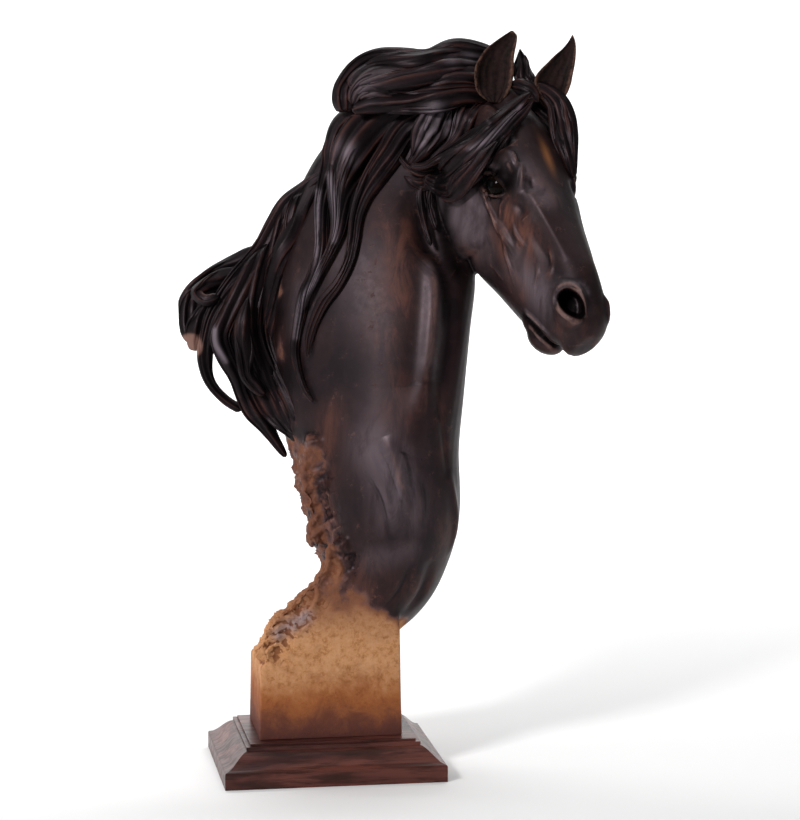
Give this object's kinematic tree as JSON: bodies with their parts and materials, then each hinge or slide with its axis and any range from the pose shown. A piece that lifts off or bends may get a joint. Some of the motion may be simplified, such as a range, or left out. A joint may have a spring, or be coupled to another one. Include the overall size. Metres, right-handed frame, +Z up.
{
  "type": "horse sculpture",
  "caption": "Bust of a horse with a turned head and windblown mane, cast in one with its block, on a moulded wooden plinth.",
  "frame": {"origin": "centre of the plinth's underside", "axes": "+Z up through the bust, +X the way the turned head faces along the plinth's long side, -Y the side the bust is seen from"},
  "size_m": [0.2428, 0.1763, 0.454],
  "materials": {
    "cast_resin": "dark bronze patina with tan rub-through, satin to glossy",
    "plinth_wood": "dark walnut stain, polished"
  },
  "bodies": {
    "root": {"horse_bust": "cast_resin", "plinth": "plinth_wood"}
  },
  "joints": []
}
